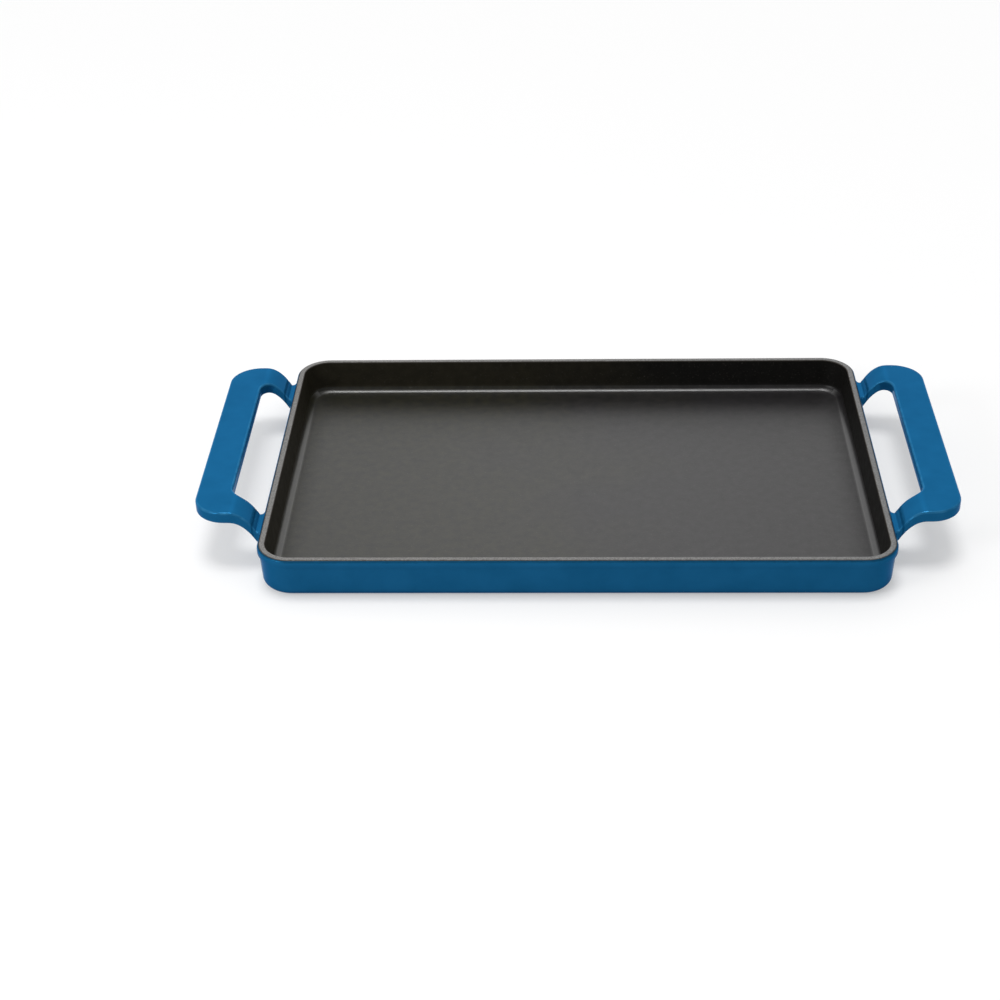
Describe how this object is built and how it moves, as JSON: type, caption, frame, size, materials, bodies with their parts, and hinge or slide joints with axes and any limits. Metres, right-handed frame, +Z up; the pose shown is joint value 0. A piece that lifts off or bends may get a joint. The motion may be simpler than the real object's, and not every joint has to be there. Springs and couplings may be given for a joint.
{
  "type": "cast iron griddle plate",
  "caption": "Shallow rectangular cast iron griddle plate with rounded corners, blue enamel outside, matt black enamel inside and a raised loop handle at each end.",
  "frame": {"origin": "middle of the flat underside, on the surface that the plate stands on", "axes": "+X along the plate towards the right-hand handle, +Y towards the back, +Z up"},
  "size_m": [0.432, 0.237, 0.0357],
  "materials": {
    "iron": "matte",
    "blue_enamel": "gloss",
    "black_enamel": "satin",
    "rim_coat": "matte"
  },
  "bodies": {
    "root": {"pan_casting": "iron", "right_handle_casting": "iron", "left_handle_casting": "iron", "cooking_enamel": "black_enamel", "rim_ground_coat": "rim_coat", "skirt_enamel": "blue_enamel", "base_enamel": "blue_enamel", "right_handle_enamel": "blue_enamel", "left_handle_enamel": "blue_enamel"}
  },
  "joints": []
}
